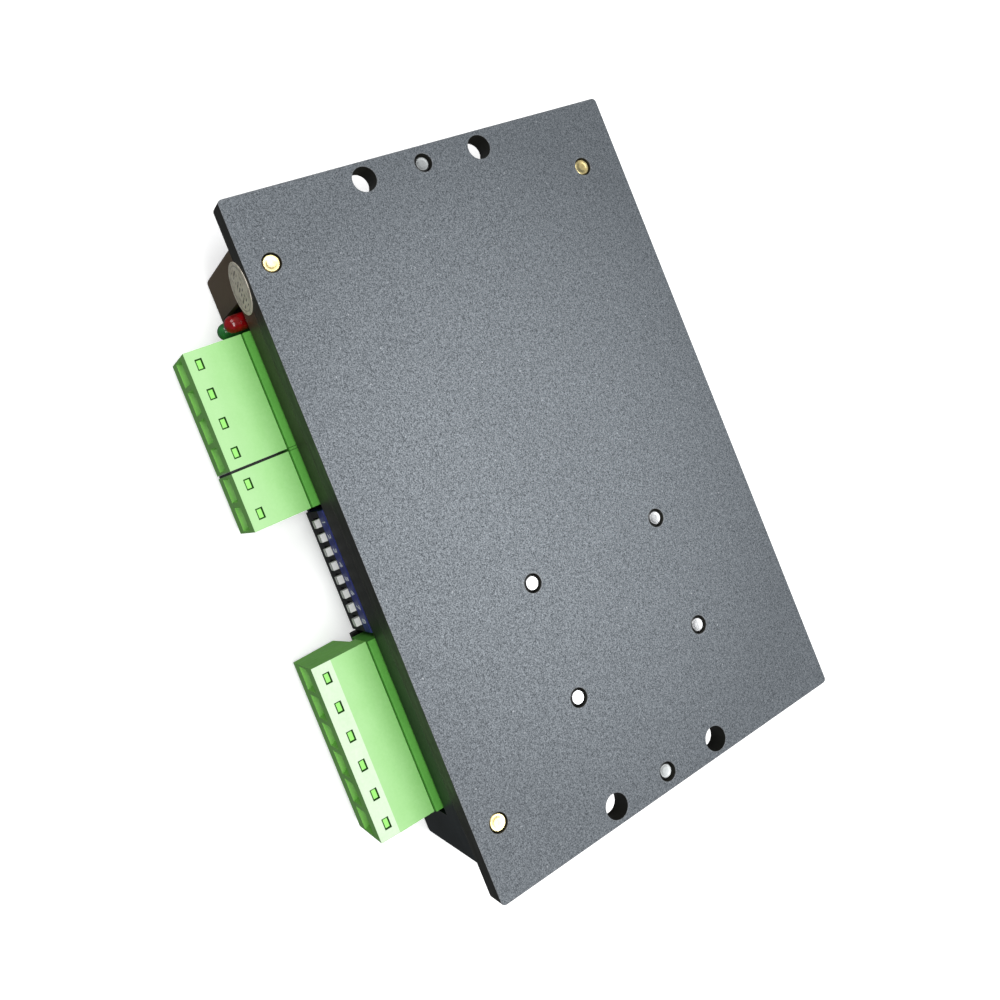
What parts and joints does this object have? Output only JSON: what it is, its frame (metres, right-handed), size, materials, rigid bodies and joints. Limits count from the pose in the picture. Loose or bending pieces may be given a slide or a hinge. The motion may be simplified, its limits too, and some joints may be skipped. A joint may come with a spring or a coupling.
{
  "type": "stepper driver module",
  "caption": "Flat stepper motor driver: black cover on an aluminium mounting plate, with green pluggable screw terminals, setting switches and lamps on one side.",
  "frame": {"origin": "centre of the cover's flat outer face, which the module lies on", "axes": "+Z out of the mounting plate's outer face, +X along the module from the lamps to the largest terminal block, -Y out of the side with the terminals"},
  "size_m": [0.118, 0.0867, 0.024],
  "materials": {
    "blasted_aluminium": "fine sand-blasted, anodised grey",
    "cover_paint": "satin black powder coat",
    "board_green": "satin solder mask",
    "brass": "bright turned brass",
    "zinc_steel": "bright zinc plate",
    "dark_steel": "dark zinc plate",
    "header_green": "satin moulded",
    "plug_green": "satin moulded",
    "switch_blue": "satin moulded",
    "knob_white": "satin moulded",
    "red_lens": "clear tinted epoxy",
    "green_lens": "clear tinted epoxy",
    "sleeve_black": "shrunk sleeve",
    "label_paper": "coated paper"
  },
  "bodies": {
    "root": {"base_plate": "blasted_aluminium", "cover": "cover_paint", "circuit_board": "board_green", "heat_spreader": "blasted_aluminium", "standoff_1": "brass", "standoff_2": "brass", "standoff_3": "brass", "board_screw_1": "zinc_steel", "board_screw_2": "zinc_steel", "board_screw_3": "zinc_steel", "power_screw_1": "zinc_steel", "power_screw_2": "zinc_steel", "power_screw_3": "zinc_steel", "power_screw_4": "zinc_steel", "cover_screw_1": "dark_steel", "cover_screw_2": "dark_steel", "header_4way": "header_green", "header_2way": "header_green", "header_6way": "header_green", "dip_body": "switch_blue", "red_led": "red_lens", "green_led": "green_lens", "capacitor_1": "sleeve_black", "capacitor_2": "sleeve_black", "seal_sticker": "label_paper"},
    "plug_4way": {"plug_4way": "plug_green"},
    "screw_4way_1": {"screw_4way_1": "zinc_steel"},
    "clamp_4way_1": {"clamp_4way_1": "zinc_steel"},
    "screw_4way_2": {"screw_4way_2": "zinc_steel"},
    "clamp_4way_2": {"clamp_4way_2": "zinc_steel"},
    "screw_4way_3": {"screw_4way_3": "zinc_steel"},
    "clamp_4way_3": {"clamp_4way_3": "zinc_steel"},
    "screw_4way_4": {"screw_4way_4": "zinc_steel"},
    "clamp_4way_4": {"clamp_4way_4": "zinc_steel"},
    "plug_2way": {"plug_2way": "plug_green"},
    "screw_2way_1": {"screw_2way_1": "zinc_steel"},
    "clamp_2way_1": {"clamp_2way_1": "zinc_steel"},
    "screw_2way_2": {"screw_2way_2": "zinc_steel"},
    "clamp_2way_2": {"clamp_2way_2": "zinc_steel"},
    "plug_6way": {"plug_6way": "plug_green"},
    "screw_6way_1": {"screw_6way_1": "zinc_steel"},
    "clamp_6way_1": {"clamp_6way_1": "zinc_steel"},
    "screw_6way_2": {"screw_6way_2": "zinc_steel"},
    "clamp_6way_2": {"clamp_6way_2": "zinc_steel"},
    "screw_6way_3": {"screw_6way_3": "zinc_steel"},
    "clamp_6way_3": {"clamp_6way_3": "zinc_steel"},
    "screw_6way_4": {"screw_6way_4": "zinc_steel"},
    "clamp_6way_4": {"clamp_6way_4": "zinc_steel"},
    "screw_6way_5": {"screw_6way_5": "zinc_steel"},
    "clamp_6way_5": {"clamp_6way_5": "zinc_steel"},
    "screw_6way_6": {"screw_6way_6": "zinc_steel"},
    "clamp_6way_6": {"clamp_6way_6": "zinc_steel"},
    "dip_slider_1": {"dip_slider_1": "knob_white"},
    "dip_slider_2": {"dip_slider_2": "knob_white"},
    "dip_slider_3": {"dip_slider_3": "knob_white"},
    "dip_slider_4": {"dip_slider_4": "knob_white"},
    "dip_slider_5": {"dip_slider_5": "knob_white"},
    "dip_slider_6": {"dip_slider_6": "knob_white"},
    "dip_slider_7": {"dip_slider_7": "knob_white"},
    "dip_slider_8": {"dip_slider_8": "knob_white"}
  },
  "joints": [
    {"name": "plug_4way_slide", "type": "slide", "parent": "root", "child": "plug_4way", "axis": [0, -1, 0], "range_m": [0, 0.012]},
    {"name": "screw_4way_1_turn", "type": "hinge", "parent": "plug_4way", "child": "screw_4way_1", "pos_m": [-0.0374, -0.0444, 0.0019], "axis": [0, 0, 1], "range_deg": [0, 1440]},
    {"name": "clamp_4way_1_lift", "type": "slide", "parent": "plug_4way", "child": "clamp_4way_1", "axis": [0, 0, -1], "range_m": [0, 0.00199]},
    {"name": "screw_4way_2_turn", "type": "hinge", "parent": "plug_4way", "child": "screw_4way_2", "pos_m": [-0.03232, -0.0444, 0.0019], "axis": [0, 0, 1], "range_deg": [0, 1440]},
    {"name": "clamp_4way_2_lift", "type": "slide", "parent": "plug_4way", "child": "clamp_4way_2", "axis": [0, 0, -1], "range_m": [0, 0.00199]},
    {"name": "screw_4way_3_turn", "type": "hinge", "parent": "plug_4way", "child": "screw_4way_3", "pos_m": [-0.02724, -0.0444, 0.0019], "axis": [0, 0, 1], "range_deg": [0, 1440]},
    {"name": "clamp_4way_3_lift", "type": "slide", "parent": "plug_4way", "child": "clamp_4way_3", "axis": [0, 0, -1], "range_m": [0, 0.00199]},
    {"name": "screw_4way_4_turn", "type": "hinge", "parent": "plug_4way", "child": "screw_4way_4", "pos_m": [-0.02216, -0.0444, 0.0019], "axis": [0, 0, 1], "range_deg": [0, 1440]},
    {"name": "clamp_4way_4_lift", "type": "slide", "parent": "plug_4way", "child": "clamp_4way_4", "axis": [0, 0, -1], "range_m": [0, 0.00199]},
    {"name": "plug_2way_slide", "type": "slide", "parent": "root", "child": "plug_2way", "axis": [0, -1, 0], "range_m": [0, 0.012]},
    {"name": "screw_2way_1_turn", "type": "hinge", "parent": "plug_2way", "child": "screw_2way_1", "pos_m": [-0.01673, -0.0444, 0.0019], "axis": [0, 0, 1], "range_deg": [0, 1440]},
    {"name": "clamp_2way_1_lift", "type": "slide", "parent": "plug_2way", "child": "clamp_2way_1", "axis": [0, 0, -1], "range_m": [0, 0.00199]},
    {"name": "screw_2way_2_turn", "type": "hinge", "parent": "plug_2way", "child": "screw_2way_2", "pos_m": [-0.01165, -0.0444, 0.0019], "axis": [0, 0, 1], "range_deg": [0, 1440]},
    {"name": "clamp_2way_2_lift", "type": "slide", "parent": "plug_2way", "child": "clamp_2way_2", "axis": [0, 0, -1], "range_m": [0, 0.00199]},
    {"name": "plug_6way_slide", "type": "slide", "parent": "root", "child": "plug_6way", "axis": [0, -1, 0], "range_m": [0, 0.012]},
    {"name": "screw_6way_1_turn", "type": "hinge", "parent": "plug_6way", "child": "screw_6way_1", "pos_m": [0.01705, -0.0444, 0.0019], "axis": [0, 0, 1], "range_deg": [0, 1440]},
    {"name": "clamp_6way_1_lift", "type": "slide", "parent": "plug_6way", "child": "clamp_6way_1", "axis": [0, 0, -1], "range_m": [0, 0.00199]},
    {"name": "screw_6way_2_turn", "type": "hinge", "parent": "plug_6way", "child": "screw_6way_2", "pos_m": [0.02213, -0.0444, 0.0019], "axis": [0, 0, 1], "range_deg": [0, 1440]},
    {"name": "clamp_6way_2_lift", "type": "slide", "parent": "plug_6way", "child": "clamp_6way_2", "axis": [0, 0, -1], "range_m": [0, 0.00199]},
    {"name": "screw_6way_3_turn", "type": "hinge", "parent": "plug_6way", "child": "screw_6way_3", "pos_m": [0.02721, -0.0444, 0.0019], "axis": [0, 0, 1], "range_deg": [0, 1440]},
    {"name": "clamp_6way_3_lift", "type": "slide", "parent": "plug_6way", "child": "clamp_6way_3", "axis": [0, 0, -1], "range_m": [0, 0.00199]},
    {"name": "screw_6way_4_turn", "type": "hinge", "parent": "plug_6way", "child": "screw_6way_4", "pos_m": [0.03229, -0.0444, 0.0019], "axis": [0, 0, 1], "range_deg": [0, 1440]},
    {"name": "clamp_6way_4_lift", "type": "slide", "parent": "plug_6way", "child": "clamp_6way_4", "axis": [0, 0, -1], "range_m": [0, 0.00199]},
    {"name": "screw_6way_5_turn", "type": "hinge", "parent": "plug_6way", "child": "screw_6way_5", "pos_m": [0.03737, -0.0444, 0.0019], "axis": [0, 0, 1], "range_deg": [0, 1440]},
    {"name": "clamp_6way_5_lift", "type": "slide", "parent": "plug_6way", "child": "clamp_6way_5", "axis": [0, 0, -1], "range_m": [0, 0.00199]},
    {"name": "screw_6way_6_turn", "type": "hinge", "parent": "plug_6way", "child": "screw_6way_6", "pos_m": [0.04245, -0.0444, 0.0019], "axis": [0, 0, 1], "range_deg": [0, 1440]},
    {"name": "clamp_6way_6_lift", "type": "slide", "parent": "plug_6way", "child": "clamp_6way_6", "axis": [0, 0, -1], "range_m": [0, 0.00199]},
    {"name": "dip_slider_1_slide", "type": "slide", "parent": "root", "child": "dip_slider_1", "axis": [0, 0, -1], "range_m": [0, 0.0019]},
    {"name": "dip_slider_2_slide", "type": "slide", "parent": "root", "child": "dip_slider_2", "axis": [0, 0, -1], "range_m": [0, 0.0019]},
    {"name": "dip_slider_3_slide", "type": "slide", "parent": "root", "child": "dip_slider_3", "axis": [0, 0, -1], "range_m": [0, 0.0019]},
    {"name": "dip_slider_4_slide", "type": "slide", "parent": "root", "child": "dip_slider_4", "axis": [0, 0, -1], "range_m": [0, 0.0019]},
    {"name": "dip_slider_5_slide", "type": "slide", "parent": "root", "child": "dip_slider_5", "axis": [0, 0, -1], "range_m": [0, 0.0019]},
    {"name": "dip_slider_6_slide", "type": "slide", "parent": "root", "child": "dip_slider_6", "axis": [0, 0, -1], "range_m": [0, 0.0019]},
    {"name": "dip_slider_7_slide", "type": "slide", "parent": "root", "child": "dip_slider_7", "axis": [0, 0, -1], "range_m": [0, 0.0019]},
    {"name": "dip_slider_8_slide", "type": "slide", "parent": "root", "child": "dip_slider_8", "axis": [0, 0, -1], "range_m": [0, 0.0019]}
  ],
  "couplings": [
    {"joint": "screw_4way_1_turn", "follows": "clamp_4way_1_lift", "rad_per_m": 12566},
    {"joint": "screw_4way_2_turn", "follows": "clamp_4way_2_lift", "rad_per_m": 12566},
    {"joint": "screw_4way_3_turn", "follows": "clamp_4way_3_lift", "rad_per_m": 12566},
    {"joint": "screw_4way_4_turn", "follows": "clamp_4way_4_lift", "rad_per_m": 12566},
    {"joint": "screw_2way_1_turn", "follows": "clamp_2way_1_lift", "rad_per_m": 12566},
    {"joint": "screw_2way_2_turn", "follows": "clamp_2way_2_lift", "rad_per_m": 12566},
    {"joint": "screw_6way_1_turn", "follows": "clamp_6way_1_lift", "rad_per_m": 12566},
    {"joint": "screw_6way_2_turn", "follows": "clamp_6way_2_lift", "rad_per_m": 12566},
    {"joint": "screw_6way_3_turn", "follows": "clamp_6way_3_lift", "rad_per_m": 12566},
    {"joint": "screw_6way_4_turn", "follows": "clamp_6way_4_lift", "rad_per_m": 12566},
    {"joint": "screw_6way_5_turn", "follows": "clamp_6way_5_lift", "rad_per_m": 12566},
    {"joint": "screw_6way_6_turn", "follows": "clamp_6way_6_lift", "rad_per_m": 12566}
  ]
}
